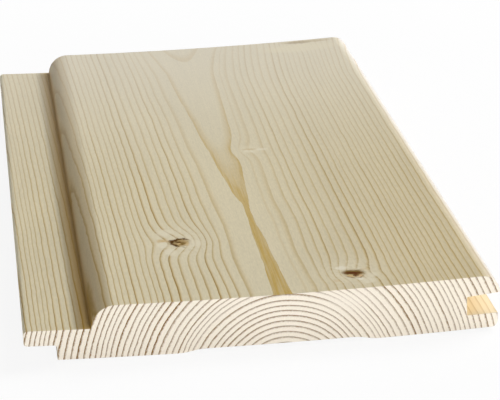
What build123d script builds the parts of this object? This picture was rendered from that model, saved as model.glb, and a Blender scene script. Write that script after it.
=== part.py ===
# Profiled softwood board: one planed piece with a wide tongue on its left edge, a groove in its
# right edge, round edges on its face and a shallow relief along its back.
# Millimetres. X runs across the board from tongue to groove, Y along it, Z up through its thickness.
# The origin is the middle of the board's box, on the plane that its back lies on.

import os
from math import sqrt

from build123d import *

# Overall sizes
board_length = 250.0
board_width = 121.0  # tip of the tongue to the tip of the upper lip
board_thickness = 14.0

# Tongue
tongue_width = 17.0  # tip to shoulder, on its top
tongue_thickness = 4.1
tongue_tip_round = 1.3  # upper corner of the tip
tongue_tip_ease = 0.7  # lower corner of the tip
rebate_width = 8.2  # tip to the wall under the tongue
rebate_corner_round = 0.8

# Groove, which takes the tongue of the next board
groove_end_play = 0.3  # between the tongue's tip and the back of the groove
groove_play_below = 0.1
groove_play_above = 0.7
groove_flare = 0.5  # how far the groove's roof rises towards its mouth
lower_lip_setback = 0.6  # the lower lip is this much shorter than the upper one
lower_lip_round = 1.6

# Face: how far it stands above the tongue, and the round at each of its edges
face_step = 6.0
shoulder_round = 6.5
upper_lip_round = 4.6

# Relief on the back, which leaves a flat rail on each side
relief_width = 52.0
relief_depth = 0.9
relief_ramp = 7.5  # width of the curved ramp at each side

# Levels, up from the back
tongue_top = board_thickness - face_step
tongue_bottom = tongue_top - tongue_thickness
groove_floor = tongue_bottom - groove_play_below
groove_roof = tongue_top + groove_play_above
mouth_roof = groove_roof + groove_flare

# Places across the board
tongue_tip = -board_width / 2
shoulder = tongue_tip + tongue_width
rebate_wall = tongue_tip + rebate_width
upper_lip_tip = board_width / 2
groove_depth = rebate_width + groove_end_play
groove_back = upper_lip_tip - groove_depth
lower_lip_tip = upper_lip_tip - lower_lip_setback
back_middle = (rebate_wall + lower_lip_tip) / 2


def round_run(radius, drop):
    """How far across a round of this radius reaches, from the face down to this drop."""
    return sqrt(radius**2 - (radius - min(radius, drop)) ** 2)


def rounded_edge(face_point, foot, radius):
    """The round that leaves the face level and ends above foot, with an upright land if it is short."""
    outward = 1 if foot[0] > face_point[0] else -1
    round_end = (foot[0], max(foot[1], face_point[1] - radius))
    edges = [TangentArc(face_point, round_end, tangent=(outward, 0))]
    if round_end[1] > foot[1]:
        edges.append(Line(round_end, foot))
    return edges


def ramp(foot, crest):
    """Two equal arcs that rise smoothly from foot to crest, level at both ends."""
    middle = ((foot[0] + crest[0]) / 2, (foot[1] + crest[1]) / 2)
    inward = 1 if crest[0] > foot[0] else -1
    return [
        TangentArc(foot, middle, tangent=(inward, 0)),
        TangentArc(crest, middle, tangent=(-inward, 0)),
    ]


def face_edges():
    """The shoulder beside the tongue, the flat face, and the round of the upper lip."""
    lip_drop = board_thickness - mouth_roof
    face_start = (shoulder + round_run(shoulder_round, face_step), board_thickness)
    face_end = (upper_lip_tip - round_run(upper_lip_round, lip_drop), board_thickness)
    return [
        *rounded_edge(face_start, (shoulder, tongue_top), shoulder_round),
        Line(face_start, face_end),
        *rounded_edge(face_end, (upper_lip_tip, mouth_roof), upper_lip_round),
    ]


def groove_edges():
    """Roof, back and floor of the groove, then the lower lip's end down to the back."""
    lip_corner = (lower_lip_tip, lower_lip_round)
    groove_walls = Polyline(
        (upper_lip_tip, mouth_roof),
        (groove_back, groove_roof),
        (groove_back, groove_floor),
        (lower_lip_tip, groove_floor),
        lip_corner,
    )
    return [
        *groove_walls.edges(),
        TangentArc(lip_corner, (lower_lip_tip - lower_lip_round, 0), tangent=(0, -1)),
    ]


def back_edges():
    """The two flat rails of the back, with the relief between them."""
    relief_right = back_middle + relief_width / 2
    relief_left = back_middle - relief_width / 2
    right_crest = (relief_right - relief_ramp, relief_depth)
    left_crest = (relief_left + relief_ramp, relief_depth)
    return [
        Line((lower_lip_tip - lower_lip_round, 0), (relief_right, 0)),
        *ramp((relief_right, 0), right_crest),
        Line(right_crest, left_crest),
        *ramp((relief_left, 0), left_crest),
        Line((relief_left, 0), (rebate_wall, 0)),
    ]


def tongue_edges():
    """The rebate under the tongue, the tongue's eased tip, and its top up to the shoulder."""
    wall_top = (rebate_wall, tongue_bottom - rebate_corner_round)
    under_start = (rebate_wall - rebate_corner_round, tongue_bottom)
    under_end = (tongue_tip + tongue_tip_ease, tongue_bottom)
    tip_low = (tongue_tip, tongue_bottom + tongue_tip_ease)
    tip_high = (tongue_tip, tongue_top - tongue_tip_round)
    top_start = (tongue_tip + tongue_tip_round, tongue_top)
    return [
        Line((rebate_wall, 0), wall_top),
        TangentArc(wall_top, under_start, tangent=(0, 1)),
        Line(under_start, under_end),
        TangentArc(under_end, tip_low, tangent=(-1, 0)),
        Line(tip_low, tip_high),
        TangentArc(tip_high, top_start, tangent=(0, 1)),
        Line(top_start, (shoulder, tongue_top)),
    ]


def profiled_board():
    """The whole section, run along the length of the board."""
    outline = Wire([*face_edges(), *groove_edges(), *back_edges(), *tongue_edges()])
    section = Plane.XZ * Face(outline)
    return extrude(section, amount=board_length / 2, both=True)


board = profiled_board()
board.label = "profiled_board"

os.makedirs("parts", exist_ok=True)
export_step(board, "parts/profiled_board.step")

section_area = board.volume / board_length
print(f"section {section_area:.1f} mm2, volume {board.volume / 1000:.1f} cm3")
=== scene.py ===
import math

import bpy
import numpy as np
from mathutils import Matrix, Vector, noise


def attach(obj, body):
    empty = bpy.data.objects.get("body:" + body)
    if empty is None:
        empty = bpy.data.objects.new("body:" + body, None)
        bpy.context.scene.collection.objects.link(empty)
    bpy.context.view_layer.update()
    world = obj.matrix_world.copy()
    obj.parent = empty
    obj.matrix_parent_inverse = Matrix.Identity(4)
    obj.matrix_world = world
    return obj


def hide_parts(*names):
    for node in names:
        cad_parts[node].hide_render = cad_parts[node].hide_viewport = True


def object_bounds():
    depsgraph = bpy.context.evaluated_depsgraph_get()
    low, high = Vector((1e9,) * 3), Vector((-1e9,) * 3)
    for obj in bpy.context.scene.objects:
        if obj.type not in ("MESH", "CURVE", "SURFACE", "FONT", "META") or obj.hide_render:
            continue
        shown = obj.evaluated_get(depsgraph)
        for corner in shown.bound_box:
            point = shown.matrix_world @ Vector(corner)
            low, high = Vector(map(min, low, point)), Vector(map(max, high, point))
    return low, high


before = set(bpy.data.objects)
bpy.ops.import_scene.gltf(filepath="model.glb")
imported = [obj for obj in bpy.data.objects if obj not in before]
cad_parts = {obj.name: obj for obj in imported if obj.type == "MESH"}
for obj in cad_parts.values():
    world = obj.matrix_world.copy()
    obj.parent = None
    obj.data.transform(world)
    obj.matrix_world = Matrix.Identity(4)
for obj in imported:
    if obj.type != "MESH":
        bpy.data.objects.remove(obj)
cadLow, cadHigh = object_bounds()
mm = 0.001  # lengths below are millimetres in the CAD frame, unless a name says otherwise
print("frame loaded")

board = {
    "tongueWidth": 17.0, "tongueThickness": 4.1, "tipRound": 1.3, "tipEase": 0.7,
    "rebateWidth": 8.2, "rebateCorner": 0.8,
    "grooveEndPlay": 0.3, "groovePlayBelow": 0.1, "groovePlayAbove": 0.7, "grooveFlare": 0.5,
    "grooveCorner": 0.25, "lipSetback": 0.6, "lowerLipRound": 1.6, "upperLipRound": 4.6,
    "faceStep": 6.0, "shoulderRound": 6.5,
    "reliefWidth": 52.0, "reliefDepth": 0.9, "reliefRamp": 7.5,
    "arris": 0.22, "mouthArris": 0.176,  # how far the sharp edges along the board are eased
    "endArris": 0.14,  # and those of its ends, less than the smallest round so that no end folds over
    "cup": 0.93, "cupHalf": 54.45,  # the face is hollow by this much over this half width
    "faceSpacing": 1.6, "sideSpacing": 2.5, "lengthSpacing": 2.2,  # of the mesh
    "knotSpacing": (0.24, 0.312), "knotMargin": (1.5, 1.35),  # and round a sunk knot, across and along
    "support": 0.2,  # a line of points this close to its ends keeps a flat run flat
    "roundTurn": 9.0, "shoulderParts": 16,  # degrees from point to point of a round; parts of the shoulder
    "sheetWidth": 0.98, "sheetEdge": 0.01,  # of the unwrapped sides, in shares of the picture
    "endShelves": (0.855, 0.93), "endScale": 1.4,  # where the two ends lie above them, and how much larger
}
width = (cadHigh.x - cadLow.x) / mm
length = (cadHigh.y - cadLow.y) / mm
thickness = (cadHigh.z - cadLow.z) / mm

tongueTip = -width / 2
shoulder = tongueTip + board["tongueWidth"]
rebateWall = tongueTip + board["rebateWidth"]
lipTip = width / 2
grooveBack = lipTip - board["rebateWidth"] - board["grooveEndPlay"]
lowerLipTip = lipTip - board["lipSetback"]
tongueTop = thickness - board["faceStep"]
tongueUnder = tongueTop - board["tongueThickness"]
grooveFloor = tongueUnder - board["groovePlayBelow"]
grooveRoof = tongueTop + board["groovePlayAbove"]
mouthRoof = grooveRoof + board["grooveFlare"]
backMiddle = (rebateWall + lowerLipTip) / 2
reliefHalf = board["reliefWidth"] / 2
cupSink = board["cup"] * (reliefHalf / board["cupHalf"]) ** 2  # it stands on the rails' inner edges

# Knots: place across and from the near end, half size across and along, how far they draw the rings
# towards the heart, and how wide, how far beyond and how far before the knot that reaches.
# A sunk knot has its depth, and the way its deep side lies.
# Strokes: place across and along, long and short half (in half sizes of the knot), tilt, share, colour.
knots = [
    {"x": -16.8, "s": 45.0, "half": (2.75, 4.5), "pull": 3.2, "reach": (7.0, 11.0, 8.4),
     "sink": 0.06, "shade": (-0.75, 0.60), "strokes": (
         (-1.75, 0.45, 0.42, 0.34, 0, 0.5, "resin"), (-1.25, 0.35, 0.50, 0.16, -8, 0.4, "resin"),
         (-1.72, -0.35, 0.60, 0.50, 0, 0.7, "paleHalo"), (-1.22, 1.97, 0.80, 0.60, 0, 0.6, "paleHalo"),
         (-1.12, -1.66, 0.60, 0.60, 0, 0.7, "paleHalo"), (1.50, -0.30, 0.70, 0.60, 0, 0.5, "paleHalo"),
         (0.05, 0.00, 0.95, 0.78, 5, 0.85, "knotBrown"), (0.66, -0.25, 0.30, 0.40, 0, 0.5, "knotFlake"),
         (0.33, -0.21, 0.28, 0.26, 0, 0.75, "knotOlive"), (-0.25, 0.50, 0.74, 0.17, 17, 1.0, "knotDark"),
         (0.60, 0.57, 0.40, 0.14, -25, 0.9, "knotDark"), (-0.74, 0.14, 0.24, 0.30, 0, 1.0, "knotDark"),
         (-0.53, -0.44, 0.46, 0.18, -42, 0.95, "knotDark"),
         (-0.19, 0.10, 0.38, 0.14, -19, 0.85, "knotDark"),
         (-0.14, -0.22, 0.22, 0.10, 27, 0.85, "knotFlake"),
         (0.31, -0.92, 0.16, 0.09, -30, 0.5, "knotOlive"))},
    {"x": 24.6, "s": 11.4, "half": (2.9, 3.7), "pull": 1.6, "reach": (6.3, 8.9, 4.7),
     "sink": 0.08, "shade": (0.0, 1.0), "strokes": (
         (-0.90, 1.22, 0.50, 0.40, 0, 0.55, "white"), (0.96, -1.70, 0.60, 0.60, -30, 0.7, "paleHalo"),
         (0.36, -1.25, 0.30, 0.25, 0, 0.6, "white"), (1.50, -0.60, 0.60, 0.50, -30, 0.6, "paleHalo"),
         (-1.90, -1.30, 0.35, 0.30, 0, 0.25, "resin"), (1.10, 0.60, 0.40, 0.30, 0, 0.2, "resin"),
         (0.00, -0.10, 1.00, 0.82, -6, 0.75, "knotBrown"),
         (-0.40, -0.50, 0.36, 0.20, -14, 0.7, "knotFlake"),
         (0.40, -0.66, 0.32, 0.24, 0, 0.6, "knotPink"), (-0.02, 0.14, 0.98, 0.50, -8, 0.95, "knotOlive"),
         (-0.06, 0.02, 0.84, 0.27, -10, 1.0, "knotRed"), (0.06, -0.48, 0.18, 0.22, 0, 0.95, "knotRed"),
         (-0.43, -0.86, 0.44, 0.11, -36, 0.75, "knotOlive"),
         (0.42, -0.90, 0.42, 0.10, 38, 0.5, "knotOlive"))},
    {"x": 10.8, "s": 125.8, "half": (1.0, 1.4), "pull": 0.6, "reach": (4.5, 9.0, 7.0),
     "sink": 0.0, "strokes": (
         (1.2, 0.1, 2.6, 0.5, -4, 0.35, "goldFace"), (4.3, -0.4, 1.9, 0.9, -8, 0.38, "white"),
         (0.7, -1.4, 1.7, 0.8, -25, 0.24, "white"))},
    {"x": 42.6, "s": 250.0, "half": (4.4, 4.6), "pull": 2.0, "reach": (8.0, 9.0, 11.0),
     "sink": 0.0, "strokes": (
         (0.10, -2.20, 2.80, 1.10, 0, 0.6, "paleHalo"), (0.60, -0.55, 2.00, 0.36, 0, 0.30, "knotBrown"),
         (0.00, -0.70, 0.90, 0.40, 0, 0.20, "knotRed"))},
]
sunkKnots = [k for k in knots if k["sink"]]


def cupAt(x):  # how far the hollow lifts the board at x
    return board["cup"] * ((x - backMiddle) / board["cupHalf"]) ** 2 - cupSink


def roundCorner(before, corner, after):  # the points of a round, its radius last in the corner
    a, b, c = (Vector(p[:2]) for p in (before, corner, after))
    inDir, outDir = (a - b).normalized(), (c - b).normalized()
    angle = inDir.angle(outDir)
    tangent = corner[2] / math.tan(angle / 2)
    centre = b + (inDir + outDir).normalized() * corner[2] / math.sin(angle / 2)
    start, end = b + inDir * tangent - centre, b + outDir * tangent - centre
    sweep = math.pi - angle
    count = max(3, round(math.degrees(sweep) / board["roundTurn"]))
    points = []
    for i in range(count + 1):
        share = i / count
        weight = math.sin((1 - share) * sweep) * start + math.sin(share * sweep) * end
        points.append(tuple(centre + weight / math.sin(sweep)))
    return points


def shoulderArc():  # from the tongue's top up to the face
    radius, parts = board["shoulderRound"], board["shoulderParts"]
    run = math.sqrt(radius ** 2 - (radius - board["faceStep"]) ** 2)
    x, z = shoulder + run, thickness - radius
    first, last = math.atan2(tongueTop - z, -run), math.pi / 2
    angles = [first + (last - first) * i / parts for i in range(parts + 1)]
    return [(x + radius * math.cos(a), z + radius * math.sin(a), 0) for a in angles]


def sectionCorners():  # clockwise from the tongue's tip, seen from the near end: x, z, radius
    ramp, depth, ease = board["reliefRamp"], board["reliefDepth"], board["arris"]
    rampRound = (ramp ** 2 / depth + depth) / 4
    foot, crest = reliefHalf - ramp / 4, reliefHalf - ramp * 0.75
    return [
        (tongueTip, tongueTop, board["tipRound"]),
        *shoulderArc(),
        (lipTip, thickness, board["upperLipRound"]),
        (lipTip, mouthRoof, board["mouthArris"]),
        (grooveBack, grooveRoof, board["grooveCorner"]),
        (grooveBack, grooveFloor, board["grooveCorner"]),
        (lowerLipTip, grooveFloor, ease),
        (lowerLipTip, 0, board["lowerLipRound"]),
        (backMiddle + foot, 0, rampRound),
        (backMiddle + crest, depth, rampRound),
        (backMiddle - crest, depth, rampRound),
        (backMiddle - foot, 0, rampRound),
        (rebateWall, 0, ease),
        (rebateWall, tongueUnder, board["rebateCorner"]),
        (tongueTip, tongueUnder, board["tipEase"]),
    ]


def knotZone(k, axis):  # where the mesh is fine round a knot: axis 0 across, 1 along
    middle = (k["x"], k["s"])[axis]
    margin = k["half"][axis] * board["knotMargin"][axis]
    return middle - margin, middle + margin


def gridLines(low, high, coarse, axis):  # close together at the sunk knots, wide apart elsewhere
    zones = [knotZone(k, axis) for k in sunkKnots]
    cuts = sorted({low, high, *(min(max(e, low), high) for zone in zones for e in zone)})
    lines = [low]
    for a, b in zip(cuts, cuts[1:]):
        middle = (a + b) / 2
        step = board["knotSpacing"][axis] if any(z[0] < middle < z[1] for z in zones) else coarse
        count = max(1, math.ceil((b - a) / step))
        lines += [a + (b - a) * i / count for i in range(1, count + 1)]
    return lines


def boardSection():  # the outline as points, with the straight runs divided
    corners = sectionCorners()
    outline = []
    for i, corner in enumerate(corners):
        before, after = corners[i - 1], corners[(i + 1) % len(corners)]
        outline += roundCorner(before, corner, after) if corner[2] else [corner[:2]]
    support = board["support"]
    points = []
    for a, b in zip(outline, outline[1:] + outline[:1]):
        points.append(a)
        run = math.dist(a, b)
        if run <= board["faceSpacing"]:
            continue
        if min(a[1], b[1]) > thickness - 0.01:
            xs = gridLines(a[0] + support, b[0] - support, board["faceSpacing"], 0)
            points += [(x, thickness) for x in xs]
        else:
            hold = support / run
            count = max(1, round(run / board["sideSpacing"]))
            shares = [hold + (1 - 2 * hold) * i / count for i in range(count + 1)]
            points += [(a[0] + (b[0] - a[0]) * t, a[1] + (b[1] - a[1]) * t) for t in shares]
    return np.array(points)


def unit(rows):
    return rows / np.linalg.norm(rows, axis=1)[:, None]


def inwardOf(outline):  # the way into the wood at each point of the outline
    along = unit(unit(np.roll(outline, -1, 0) - outline) + unit(outline - np.roll(outline, 1, 0)))
    return np.stack([along[:, 1], -along[:, 0]], 1)


def knotDent(x, s, k):  # how far the face is sunk in a loose knot
    a, b = (x - k["x"]) / k["half"][0], (s - k["s"]) / k["half"][1]
    if abs(a) >= board["knotMargin"][0] or abs(b) >= board["knotMargin"][1]:
        return 0.0
    broad = noise.noise(Vector((x * 0.9, s * 0.7, 3.0)))
    close = noise.noise(Vector((x * 2.3, s * 1.6, 7.0)))
    rough = broad * 0.25 + close * 0.15
    e = math.hypot(a, b) + rough
    inside = min(max((1.02 - e) / 0.22, 0), 1)
    towards = (a * k["shade"][0] + b * k["shade"][1]) / math.hypot(*k["shade"])
    deep = min(max((towards + 0.35 + rough) / 0.7, 0), 1)
    crack = max(0, 1 - abs(e - 0.82) / 0.16) * min(max(towards + 0.55, 0), 1)
    return inside * k["sink"] * (0.22 + 0.5 * deep) + crack * k["sink"] * 0.5


def boardRings():  # where each ring of points lies along the board, and how far in
    ease = board["endArris"]
    bevel = ease * 0.3
    stations = gridLines(ease, length - ease, board["lengthSpacing"], 1)
    flat = [(s, 0.0) for s in stations]
    return [(0.0, ease), (bevel, bevel), *flat, (length - bevel, bevel), (length, ease)]


def boardMesh():
    outline, rings = boardSection(), boardRings()
    inward = inwardOf(outline)
    onFace = outline[:, 1] > thickness - 0.001
    points = []
    for s, inset in rings:
        for (x, z), face in zip(outline + inward * inset, onFace):
            if face:
                z -= sum(knotDent(x, s, k) for k in sunkKnots)
            points.append((x * mm, (s - length / 2) * mm, (z + cupAt(x)) * mm))
    count, rows = len(outline), len(rings)
    faces = []
    for j in range(rows - 1):
        near, far = j * count, (j + 1) * count
        for i in range(count):
            n = (i + 1) % count
            faces.append((near + i, near + n, far + n, far + i))
    caps = [list(range(count))[::-1], list(range((rows - 1) * count, rows * count))]
    mesh = bpy.data.meshes.new("profiledBoard")
    mesh.from_pydata(points, [], faces + caps)
    mesh.polygons.foreach_set("use_smooth", [True] * len(faces) + [False] * len(caps))
    unwrapBoard(mesh, outline, [s for s, inset in rings])
    mesh.validate()
    mesh.update()
    return mesh


def unwrapBoard(mesh, outline, stations):  # the sides unrolled round the section, the two ends above them
    steps = np.linalg.norm(np.roll(outline, -1, 0) - outline, axis=1)
    run = np.concatenate([[0], np.cumsum(steps)])
    count, edge = len(outline), board["sheetEdge"]
    scale = board["sheetWidth"] / run[-1]
    endScale = scale * board["endScale"]
    sides = (len(stations) - 1) * count
    at = []
    for p in range(sides):
        j, i = divmod(p, count)
        left, right = run[i], run[i + 1]
        near, far = stations[j], stations[j + 1]
        at += [(left, near), (right, near), (right, far), (left, far)]
    at = [(edge + u * scale, edge + v * scale) for u, v in at]
    for p, shelf in zip((sides, sides + 1), board["endShelves"]):
        for v in mesh.polygons[p].vertices:
            x, z = outline[v % count]
            at.append((2 * edge + (x - tongueTip) * endScale, shelf + z * endScale))
    uv = mesh.uv_layers.new(name="OFBake").uv
    uv.foreach_set("vector", np.array(at, np.float32).ravel())


class Wire:  # a shader socket that can stand in a Python sum
    def __init__(self, tree, socket=None):
        self.tree = tree
        self.socket = socket

    def node(self, kind, settings=None, inputs=None, out=0):
        made = self.tree.nodes.new("ShaderNode" + kind)
        for name, value in (settings or {}).items():
            if name == "curve":
                drawCurve(made.mapping, value)
            else:
                setattr(made, name, value)
        for name, value in (inputs or {}).items():
            if isinstance(value, Wire):
                self.tree.links.new(value.socket, made.inputs[name])
            else:
                made.inputs[name].default_value = value
        return Wire(self.tree, made.outputs[out] if made.outputs else None)

    def part(self, name):  # another output of the same node
        return Wire(self.tree, self.socket.node.outputs[name])

    def math(self, operation, *values, clamp=False):
        settings = {"operation": operation, "use_clamp": clamp}
        return self.node("Math", settings, dict(enumerate(values)))

    def __add__(self, other):
        return self.math("ADD", self, other)

    def __radd__(self, other):
        return self.math("ADD", other, self)

    def __sub__(self, other):
        return self.math("SUBTRACT", self, other)

    def __rsub__(self, other):
        return self.math("SUBTRACT", other, self)

    def __mul__(self, other):
        return self.math("MULTIPLY", self, other)

    def __rmul__(self, other):
        return self.math("MULTIPLY", other, self)

    def __truediv__(self, other):
        return self.math("DIVIDE", self, other)

    def __rtruediv__(self, other):
        return self.math("DIVIDE", other, self)

    def __pow__(self, other):
        return self.math("POWER", self, other)

    def __rpow__(self, other):
        return self.math("POWER", other, self)

    def root(self):
        return self.math("SQRT", self)

    def cosine(self):
        return self.math("COSINE", self)

    def fall(self):  # e to the minus
        return self.math("EXPONENT", self * -1)

    def size(self):
        return self.math("ABSOLUTE", self)

    def ceiling(self):
        return self.math("CEIL", self)

    def rest(self):
        return self.math("FRACT", self)

    def most(self, other):
        return self.math("MAXIMUM", self, other)

    def held(self):  # kept from 0 to 1
        return self.math("ADD", self, 0.0, clamp=True)

    def step(self, low, high):  # soft step from 0 at low to 1 at high
        ends = {"From Min": low, "From Max": high, "To Min": 0.0, "To Max": 1.0}
        return self.node("MapRange", {"interpolation_type": "SMOOTHSTEP"}, {"Value": self, **ends})

    def mix(self, first, second):  # two colours, by this share
        inputs = {0: self, 6: first, 7: second}
        return self.node("Mix", {"data_type": "RGBA", "clamp_factor": True}, inputs, out=2)

    def lit(self, level):  # this colour, lighter or darker
        grey = self.node("CombineXYZ", {}, {"X": level, "Y": level, "Z": level})
        return self.node("VectorMath", {"operation": "MULTIPLY"}, {0: self, 1: grey})


def drawCurve(mapping, spots):  # straight runs between the given spots
    points = mapping.curves[0].points
    while len(points) < len(spots):
        points.new(0.5, 0.5)
    for point, spot in zip(points, spots):
        point.location = spot
        point.handle_type = "VECTOR"
    mapping.update()


def blankNodes(owner):  # an empty tree for a material or the world
    owner.use_nodes = True
    owner.node_tree.nodes.clear()
    return Wire(owner.node_tree)


def tone(red, green, blue):  # a colour as a screen shows it, 0 to 255, in scene light
    parts = [c / 255 for c in (red, green, blue)]
    return (*(p / 12.92 if p <= 0.04045 else ((p + 0.055) / 1.055) ** 2.4 for p in parts), 1.0)


wood = {
    # the tree; three numbers are a value at the near end, its slope and its bend along the board
    "heartX": (4.956, -0.00964, -0.0000089),  # the heart lies under the board and drifts along it
    "ringReach": (23.97, 0.00215, 0.000043),  # from the heart to the ring that just touches the face
    "faceCut": (-0.3375, 0.0036, 0.0000154),  # how far the face cuts into that ring
    "lift": 0.46, "liftRun": 75.5, "liftBend": 1.06, "liftEdge": (0.2, 5.0),  # it swells at the near end
    "dive": (0.0, 0.012, 0.0003), "diveFrom": 215.0,  # and again at the far end
    "lean": (0.0, 0.025, 0.0008), "leanFrom": 200.0,  # there the rings on the groove side lean outwards
    "bow": 0.5, "bowHalf": 10.0,  # the lines beside the heart swing to and fro at the near end
    "bowFrom": 3.0, "bowTurn": 0.116, "bowRun": 90.0,
    "swayShare": 0.7, "waverShare": 0.3, "featherShare": 0.06,
    # growth: ring number out from the touching ring, its width, its strength of colour
    "growth": (
        (-9, 1.5, 0.5), (-4, 1.42, 0.75), (-1.5, 1.25, 0.6), (0, 1.65, 0.7), (1, 1.54, 0.33),
        (2, 1.25, 0.45), (3, 1.17, 0.5), (4, 1.21, 0.85), (5, 1.4, 0.5), (6, 1.51, 0.5),
        (7, 1.74, 0.55), (8, 1.69, 1.0), (10, 1.53, 0.65), (11, 1.2, 0.55), (12, 1.29, 0.5),
        (13, 1.47, 0.55), (14, 1.49, 0.85), (15, 1.46, 0.55), (16, 1.14, 0.5), (18, 1.27, 0.65),
        (20, 1.5, 0.7), (21, 1.69, 0.8), (22, 1.5, 0.6), (24.5, 1.68, 0.8), (27, 1.08, 0.5),
        (31, 1.3, 0.7), (40, 1.4, 0.7)),
    "firstRing": -12, "lastRing": 39,
    # speckles: how close across and along the grain, and how much detail
    "sway": (0.07, 0.034, 2.0), "waver": (0.4, 0.16, 1.0), "feather": (0.9, 0.05, 3.0),
    "drift": (0.12, 0.014, 2.0), "grain": (1.7, 0.9, 2.0), "fibre": (2.4, 0.045, 3.0),
    "fleck": (2.7, 0.45, 3.0), "cloud": (0.05, 0.016, 2.0), "pores": (3.2, 3.2, 3.0),
    "grit": (1.1, 0.8, 4.0), "stroke": (0.8, 1.0, 3.0),
    "earlyFace": tone(216, 205, 175), "goldFace": tone(190, 160, 88), "lineFace": tone(150, 118, 44),
    # the ends are lighter than the face: partly end grain's own colour, partly painted light from the front
    "earlyEnd": tone(248, 239, 224), "lateEnd": tone(130, 96, 42),
    "fadeSpot": (22.0, 10.8), "fadeHalf": (6.0, 3.2), "fade": 0.6,  # they fade under the second knot
    "warmFace": tone(206, 176, 110), "warmShare": 0.22,  # the face is warmer and darker towards the groove
    "sideTone": 0.0009, "tongueShade": 0.94, "tipLight": 0.6,  # painted shade darkens the tongue, painted light brightens its tip
    "fibreTone": 0.14, "fleckTone": 0.24, "cloudTone": 0.14,  # how uneven the planed faces are
    "duskShade": 0.44, "wallLight": 0.42, "overShade": 0.16,  # painted shade beside the shoulder, painted light on its lower wall, painted shade above it
    "sheenTone": tone(231, 227, 221), "sheenShare": 0.40,  # and a painted sheen makes it lighter towards its far end
    "streakFade": 0.0025,  # the streak loses this much colour each millimetre
    "knotDark": tone(84, 52, 4), "knotRed": tone(92, 46, 2), "knotOlive": tone(112, 84, 26),
    "knotBrown": tone(158, 128, 68), "knotFlake": tone(214, 186, 134), "knotPink": tone(230, 196, 156),
    "paleHalo": tone(228, 219, 194), "resin": tone(200, 164, 98), "white": tone(238, 232, 216),
    "corner": tone(204, 156, 40), "cornerShadeShare": 0.72, "cornerShadeRun": 5.0,  # painted shade: the sheltered corner is darker and browner
    # painted shade: the shoulder round is darker and browner
    "shoulder": tone(198, 163, 94), "shoulderShadeShare": 0.4,
    "groove": tone(255, 240, 210), "grooveLightShare": 0.76,  # painted light: the groove is lighter and yellower
    "lip": tone(226, 221, 219), "lipHighlightShare": 0.7,  # painted highlight: the round of the lip is whiter
    "edgeGold": 0.35,  # how far the rings show through those two
    "roughness": 0.50, "gloss": 0.05, "bump": 0.5, "bumpDepth": 0.06,
}


def bentAlong(s, numbers):  # a value that changes along the board
    first, slope, bend = numbers
    return first + s * slope + s * s * bend


def speckle(w, at, name):  # noise drawn out along the grain
    x, s, z = at
    across, along, detail = wood[name]
    drawn = w.node("CombineXYZ", {}, {"X": x * across, "Y": s * along, "Z": z * across})
    return w.node("TexNoise", {}, {"Vector": drawn, "Scale": 1.0, "Detail": detail})


def boardPlace(w):  # across, along from the near end, and up with the hollow taken out
    place = w.node("SeparateXYZ", {}, {"Vector": w.node("TexCoord", {}, {}, out="Object")})
    x, y, z = (place.part(axis) * (1 / mm) for axis in "XYZ")
    fromMiddle = (x - backMiddle) / board["cupHalf"]
    return x, y + length / 2, z - (fromMiddle * fromMiddle * board["cup"] - cupSink)


def ringField(w, at):  # how far outside the touching ring a point lies, bent by the knots
    x, s, z = at
    reach = bentAlong(s, wood["ringReach"])
    sway = (speckle(w, at, "sway") - 0.5) * wood["swayShare"]
    waver = (speckle(w, at, "waver") - 0.5) * wood["waverShare"]
    dx = x - bentAlong(s, wood["heartX"]) + sway + waver
    past = (s - wood["leanFrom"]).most(0.0)
    dx = dx - bentAlong(past, wood["lean"]) * dx.step(0.0, 20.0)
    aside = dx * dx / wood["bowHalf"] ** 2
    swing = ((s - wood["bowFrom"]) * wood["bowTurn"]).cosine() * (s / wood["bowRun"]).fall()
    dx = dx - swing * aside * (aside - 1).fall() * wood["bow"]
    dz = z - thickness + reach - bentAlong(s, wood["faceCut"])
    field = (dx * dx + dz * dz).root() - reach
    dive = bentAlong((s - wood["diveFrom"]).most(0.0), wood["dive"])
    lift = wood["lift"] * (1 - s / wood["liftRun"]).held() ** wood["liftBend"] + dive
    field = field - lift * (1 - field.step(*wood["liftEdge"]))
    marks = [knotField(dx, dz, s, k) for k in knots]
    for mark in marks:
        field = field + mark["pull"]
    return field + (speckle(w, at, "feather") - 0.56) * wood["featherShare"], marks, dx


def knotField(dx, dz, s, k):  # its pull on the rings, and places in the knot in its half sizes
    side, up = k["x"] - bentAlong(k["s"], wood["heartX"]), bentAlong(k["s"], wood["ringReach"])
    upright = up / math.hypot(side, up)  # the branch runs from the heart to the knot's place on the face
    across = (dx - dz * (side / up)) * upright
    along = s - k["s"]
    wide, far, near = k["reach"]
    spread = across / (wide * upright)
    bent = along / (near + (far - near) * along.step(-0.05, 0.05))
    pull = (spread * spread + bent * bent).fall() * k["pull"]
    return {"pull": pull, "a": across / (k["half"][0] * upright), "b": along / k["half"][1], "knot": k}


def ringNumber(w, field):  # rings counted out from the touching ring, and the strength of each
    numbers, widths, strengths = zip(*wood["growth"])
    first, last = wood["firstRing"], wood["lastRing"]
    span = last - first
    edges = {0: 0.0}
    for n in range(1, last + 1):
        edges[n] = edges[n - 1] + float(np.interp(n, numbers, widths))
    for n in range(0, first, -1):
        edges[n - 1] = edges[n] - float(np.interp(n, numbers, widths))
    low, high = edges[first], edges[last]
    spots = [((edge - low) / (high - low), (n - first) / span) for n, edge in sorted(edges.items())]
    share = w.node("MapRange", {}, {"Value": field, "From Min": low, "From Max": high})
    counted = w.node("FloatCurve", {"curve": spots}, {"Value": share}) * span + first
    rows = range(first, last + 1)
    spots = [((n - first) / span, float(np.interp(n, numbers, strengths))) for n in rows]
    strength = w.node("FloatCurve", {"curve": spots}, {"Value": (counted.ceiling() - first) / span})
    return counted, strength


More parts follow.
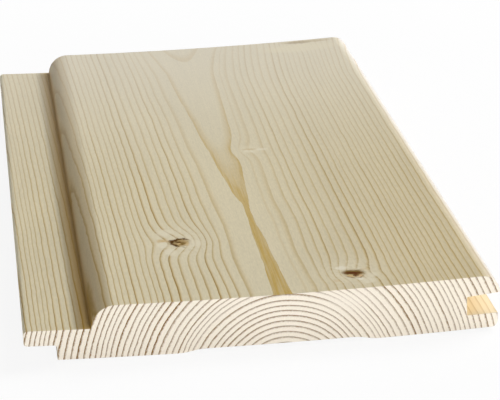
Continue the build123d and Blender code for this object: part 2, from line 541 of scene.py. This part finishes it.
def ringLines(w, at):  # where the rings show, on the face and on the ends
    x, s, z = at
    field, marks, fromHeart = ringField(w, at)
    rings, ringStrength = ringNumber(w, field)
    grain = speckle(w, at, "grain")
    phase = rings.rest()
    endPhase = (rings + (grain - 0.5) * 0.17).rest()
    strength = ringStrength * (0.62 + 0.76 * speckle(w, at, "drift"))
    strength = strength * (1 - 0.2 * fromHeart.step(0.0, 15.0)) / (1 + s * 0.006)
    outer = 1 - phase.step(0.95, 1.0)
    heartRing = 1 - field.step(-0.02, 0.4)  # the touching ring shows as a golden streak and a vee
    gold = phase.step(0.56, 0.92) * (0.35 + 0.65 * outer) * (1 - heartRing)
    gold = gold + phase.step(0.72, 0.96) * heartRing
    falseRing = (1 - (field - 0.62).size().step(0.02, 0.13)) * fromHeart.step(0.0, 1.0)
    lines = {"gold": gold, "line": phase.step(0.74, 0.95) * outer, "falseRing": falseRing}
    lines["end"] = endPhase.step(0.55, 0.92) * (1 - endPhase.step(0.97, 1.0))
    lines["end"] = lines["end"] * (0.28 + 0.70 * ringStrength) * (0.4 + 1.2 * grain)
    lines["streak"] = heartRing * (1 - s * wood["streakFade"]) * (0.75 + 0.25 * field.step(-0.13, -0.10))
    return {**lines, "heartRing": heartRing, "strength": strength}, marks


def onTongue(x):
    return 1 - (x - shoulder).step(-0.6, 0.0)


def faceLevel(at, grains):  # how light the planed faces are: their own unevenness, and painted shade and light on the tongue and round the shoulder
    x, s, z = at
    level = 1 + (grains["fibre"] - 0.5) * wood["fibreTone"] + (grains["fleck"] - 0.5) * wood["fleckTone"]
    level = level + (grains["cloud"] - 0.5) * wood["cloudTone"]
    level = level - x * wood["sideTone"] * (1 - s * 0.005)
    # painted shade on the tongue, less of it towards the far end
    level = level * (1 - onTongue(x) * (1 - wood["tongueShade"] - s * 0.0003))
    # painted light on the tongue's tip
    level = level * (1 + wood["tipLight"] * (1 - (x - tongueTip).step(0.2, 1.4)))
    # painted shade on the tongue beside the shoulder, painted light on the shoulder's lower wall and
    # painted shade higher on its round
    inside = shoulder - x
    dusk = inside.step(0.5, 1.8) * (1 - inside.step(2.8, 5.2)) * (1 - s * 0.0014)
    wall = inside.step(-3.0, -1.0) * (1 - inside.step(-0.3, 0.2)) * (1 - s * 0.003)
    over = (1 - (inside + 4.4).size().step(0.2, 1.6)) * (1 - s * 0.002)
    level = level * (1 - wood["duskShade"] * dusk) * (1 + wood["wallLight"] * wall)
    return level * (1 - wood["overShade"] * over)


def faceColour(at, lines, grains):
    x, s, z = at
    strength = lines["strength"]
    shown = (0.15 + 0.75 * strength).most(lines["streak"] * (0.10 + 1.6 * grains["fibre"]))
    colour = (lines["gold"] * shown + lines["falseRing"] * 0.2).mix(wood["earlyFace"], wood["goldFace"])
    drawn = lines["line"] * (strength * 1.3 - 0.15).held() * (1 - lines["heartRing"])
    colour = drawn.mix(colour, wood["lineFace"])
    warm = x.step(0.0, 58.0) * (1 - s * 0.005).held() * wood["warmShare"]
    colour = warm.mix(colour, wood["warmFace"]).lit(faceLevel(at, grains))
    # painted sheen: lighter towards the far end, less of it on the tongue
    farSheen = s.step(80.0, 290.0) * wood["sheenShare"] * (1 - 0.4 * onTongue(x))
    return tintEdges(at, farSheen.mix(colour, wood["sheenTone"]), lines["gold"])


def tintEdges(at, colour, gold):  # painted shade in the sheltered corner and on the shoulder, painted light in the groove, a painted highlight on the lip
    x, s, z = at
    above, beside = z - tongueTop, x - shoulder
    # painted shade in the corner between the tongue and the shoulder
    corner = (1 - above.step(0.0, 2.6)) * (1 - (beside - 0.3).size().step(0.0, wood["cornerShadeRun"]))
    corner = corner * above.step(-0.5, -0.3) * (1 - s * 0.0014)
    colour = (corner * wood["cornerShadeShare"]).mix(colour, wood["corner"])

    fromBack = x - grooveBack
    # painted light in the groove, more of it towards its back wall
    inGroove = fromBack.step(-0.6, -0.2) * (1 - (z - mouthRoof).step(-0.3, 0.1))
    inGroove = inGroove * (z - grooveFloor).step(-0.3, -0.1)
    colour = (inGroove * wood["grooveLightShare"]).mix(colour, wood["groove"])
    colour = (inGroove * gold * wood["edgeGold"]).mix(colour, wood["goldFace"])
    colour = colour.lit(1 + 0.12 * inGroove * (1 - fromBack.step(0.0, 6.0)))

    # painted shade on the shoulder round, giving way to painted light towards the far end
    onShoulder = beside.step(-1.0, 0.0) * (1 - beside.step(3.0, 6.5))
    colour = (onShoulder * wood["shoulderShadeShare"] * (1 - s * 0.002)).mix(colour, wood["shoulder"])
    colour = colour.lit(1 + onShoulder * s * 0.0017)

    # painted highlight on the round of the lip
    onLip = (x - lipTip).step(-4.2, -0.8) * (z - mouthRoof).step(0.0, 1.5)
    colour = (onLip * wood["lipHighlightShare"]).mix(colour, wood["lip"])
    return (onLip * gold * wood["edgeGold"]).mix(colour, wood["goldFace"])


def endColour(at, lines, grains):
    x, s, z = at
    a = (x - wood["fadeSpot"][0]) / wood["fadeHalf"][0]
    b = (z - wood["fadeSpot"][1]) / wood["fadeHalf"][1]
    line = lines["end"] * (1 - wood["fade"] * (a * a + b * b).fall())
    line = line * (1.2 - 0.2 * x.step(-40.0, 20.0))
    level = 1 + (grains["pores"] - 0.5) * 0.3 + (grains["cloud"] - 0.5) * 0.06
    return line.mix(wood["earlyEnd"], wood["lateEnd"]).lit(level)


def paintKnot(w, at, mark, colour, rough, height, flat):
    x, s, z = at
    k, a, b = mark["knot"], mark["a"], mark["b"]
    grit = speckle(w, at, "grit")
    stroke = speckle(w, (x, s + x * 0.5, z), "stroke")
    wide, long = a * 0.40, b * 0.36
    halo = (wide * wide + long * long).fall() * (0.35 + grit.step(0.36, 0.60))
    colour = (halo * 0.5 * flat).mix(colour, wood["paleHalo"])
    a, b = a + (grit - 0.5) * 0.45, b + (stroke - 0.5) * 0.5
    for atA, atB, longHalf, shortHalf, tilt, share, shade in k["strokes"]:
        turn = math.radians(tilt)
        p = ((a - atA) * math.cos(turn) + (b - atB) * math.sin(turn)) / longHalf
        q = ((b - atB) * math.cos(turn) - (a - atA) * math.sin(turn)) / shortHalf
        spread = (p * p + q * q).root()
        colour = ((1 - spread.step(0.55, 1.35)) * share * flat).mix(colour, wood[shade])
    if k["sink"]:
        inside = 1 - (a * a + b * b).root().step(0.7, 1.0)
        rough = rough + inside * 0.2
        height = height + inside * (stroke - 0.5) * 2.0
    return colour, rough, height


def planedSpruce():
    material = bpy.data.materials.new("planedSpruce")
    w = blankNodes(material)
    at = boardPlace(w)
    lines, marks = ringLines(w, at)
    grains = {name: speckle(w, at, name) for name in ("fibre", "fleck", "cloud", "pores")}
    facing = w.node("NewGeometry", {}, {}, out="Normal")
    end = w.node("SeparateXYZ", {}, {"Vector": facing}, out="Y").size().step(0.55, 0.9)
    colour = end.mix(faceColour(at, lines, grains), endColour(at, lines, grains))

    late = lines["gold"] * lines["strength"]
    rough = wood["roughness"] + (grains["fibre"] - 0.5) * 0.12 - late * 0.06 + end * 0.16
    height = (grains["fibre"] - 0.5) * 0.55 + (grains["fleck"] - 0.5) * 0.25 + late * 0.18
    height = height * (1 - end) + (grains["pores"] - 0.5) * end * 0.9
    for mark in marks:
        colour, rough, height = paintKnot(w, at, mark, colour, rough, height, 1 - end)

    relief = {"Strength": wood["bump"], "Distance": wood["bumpDepth"] * mm, "Height": height}
    finish = {"Base Color": colour, "Roughness": rough, "Specular IOR Level": wood["gloss"]}
    finish["Normal"] = w.node("Bump", {}, relief)
    w.node("OutputMaterial", {}, {"Surface": w.node("BsdfPrincipled", {}, finish)})
    print("wood made,", len(w.tree.nodes), "nodes")
    return material


def makeBoard():
    piece = bpy.data.objects.new("profiledBoard", boardMesh())
    bpy.context.scene.collection.objects.link(piece)
    piece.data.materials.append(planedSpruce())
    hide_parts("profiled_board")
    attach(piece, "root")
    print("board made,", len(piece.data.polygons), "faces")


studio = {  # lamps: bearing clockwise from the far end, height in degrees, distance, size, power
    "key": (55, 40, 2.4, 1.4, 61.5),
    "side": (90, 15, 2.2, 1.0, 5.0),
    "left": (270, 50, 2.4, 1.4, 4.2),
    "front": (169, 12, 2.4, 1.2, 38.3),
    "sky": 0.05, "sweepTop": (0.12, 0.50),  # the white sweep behind the board fades out here
    "floorHalf": 6.0, "floorTone": (0.93, 0.93, 0.93, 1.0),
    "floorGlow": 0.90, "floorFade": (0.16, 0.42),  # the floor is seen white, wholly so farther out
}
white = (1.0, 1.0, 1.0, 1.0)


def softbox(name, bearing, height, distance, size, power):
    turn, rise = math.radians(bearing), math.radians(height)
    flat = math.cos(rise)
    lamp = bpy.data.lights.new(name, "AREA")
    lamp.shape = "SQUARE"
    lamp.size = size
    lamp.energy = power
    holder = bpy.data.objects.new(name, lamp)
    holder.location = Vector((flat * math.sin(turn), flat * math.cos(turn), math.sin(rise))) * distance
    holder.rotation_euler = (-holder.location).to_track_quat("-Z", "Y").to_euler()
    bpy.context.scene.collection.objects.link(holder)


def seenDirectly(w):  # what the camera sees straight, and what it sees in a gloss or through glass
    rays = w.node("LightPath")
    return rays.part("Is Camera Ray"), rays.part("Is Glossy Ray").most(rays.part("Is Transmission Ray"))


def whiteSweep():
    material = bpy.data.materials.new("whiteSweep")
    w = blankNodes(material)
    place = w.node("TexCoord", {}, {}, out="Object")
    distance = w.node("VectorMath", {"operation": "LENGTH"}, {0: place}, out="Value")
    camera, mirrored = seenDirectly(w)
    edge = distance.step(*studio["floorFade"])
    glow = camera.most(mirrored) * (studio["floorGlow"] + (1 - studio["floorGlow"]) * edge)
    matt = w.node("BsdfDiffuse", {}, {"Color": studio["floorTone"]})
    bright = w.node("Emission", {}, {"Color": white, "Strength": 1.0})
    w.node("OutputMaterial", {}, {"Surface": w.node("MixShader", {}, {0: glow, 1: matt, 2: bright})})
    return material


def makeFloor():
    half = studio["floorHalf"]
    corners = [(-half, -half, 0), (half, -half, 0), (half, half, 0), (-half, half, 0)]
    mesh = bpy.data.meshes.new("floor")
    mesh.from_pydata(corners, [], [(0, 1, 2, 3)])
    floor = bpy.data.objects.new("floor", mesh)
    bpy.context.scene.collection.objects.link(floor)
    floor.data.materials.append(whiteSweep())


def makeSky():
    world = bpy.data.worlds.new("studioSky")
    bpy.context.scene.world = world
    w = blankNodes(world)
    camera, mirrored = seenDirectly(w)
    way = w.node("TexCoord", {}, {}, out="Generated")
    height = w.node("SeparateXYZ", {}, {"Vector": way}, out="Z")
    seen = camera.most(mirrored * (1 - height.step(*studio["sweepTop"])))
    strength = studio["sky"] + seen * (1 - studio["sky"])
    w.node("OutputWorld", {}, {"Surface": w.node("Background", {}, {"Color": white, "Strength": strength})})


photoCamera = {"place": (-64.89, -697.84, 227.78), "turn": (71.873, 2.023, -6.885),
               "lens": 176.35, "sensor": 36.0, "clip": (0.01, 50.0)}


def makeCamera():
    lens = bpy.data.cameras.new("camera")
    lens.lens = photoCamera["lens"]
    lens.sensor_width = photoCamera["sensor"]
    lens.clip_start, lens.clip_end = photoCamera["clip"]
    camera = bpy.data.objects.new("camera", lens)
    camera.location = Vector(photoCamera["place"]) * mm
    camera.rotation_euler = [math.radians(a) for a in photoCamera["turn"]]
    bpy.context.scene.collection.objects.link(camera)
    bpy.context.scene.camera = camera


makeBoard()
makeFloor()
makeSky()
for lampName in ("key", "side", "left", "front"):
    softbox(lampName, *studio[lampName])
makeCamera()
bpy.context.scene.view_settings.view_transform = "Standard"
print("studio ready")
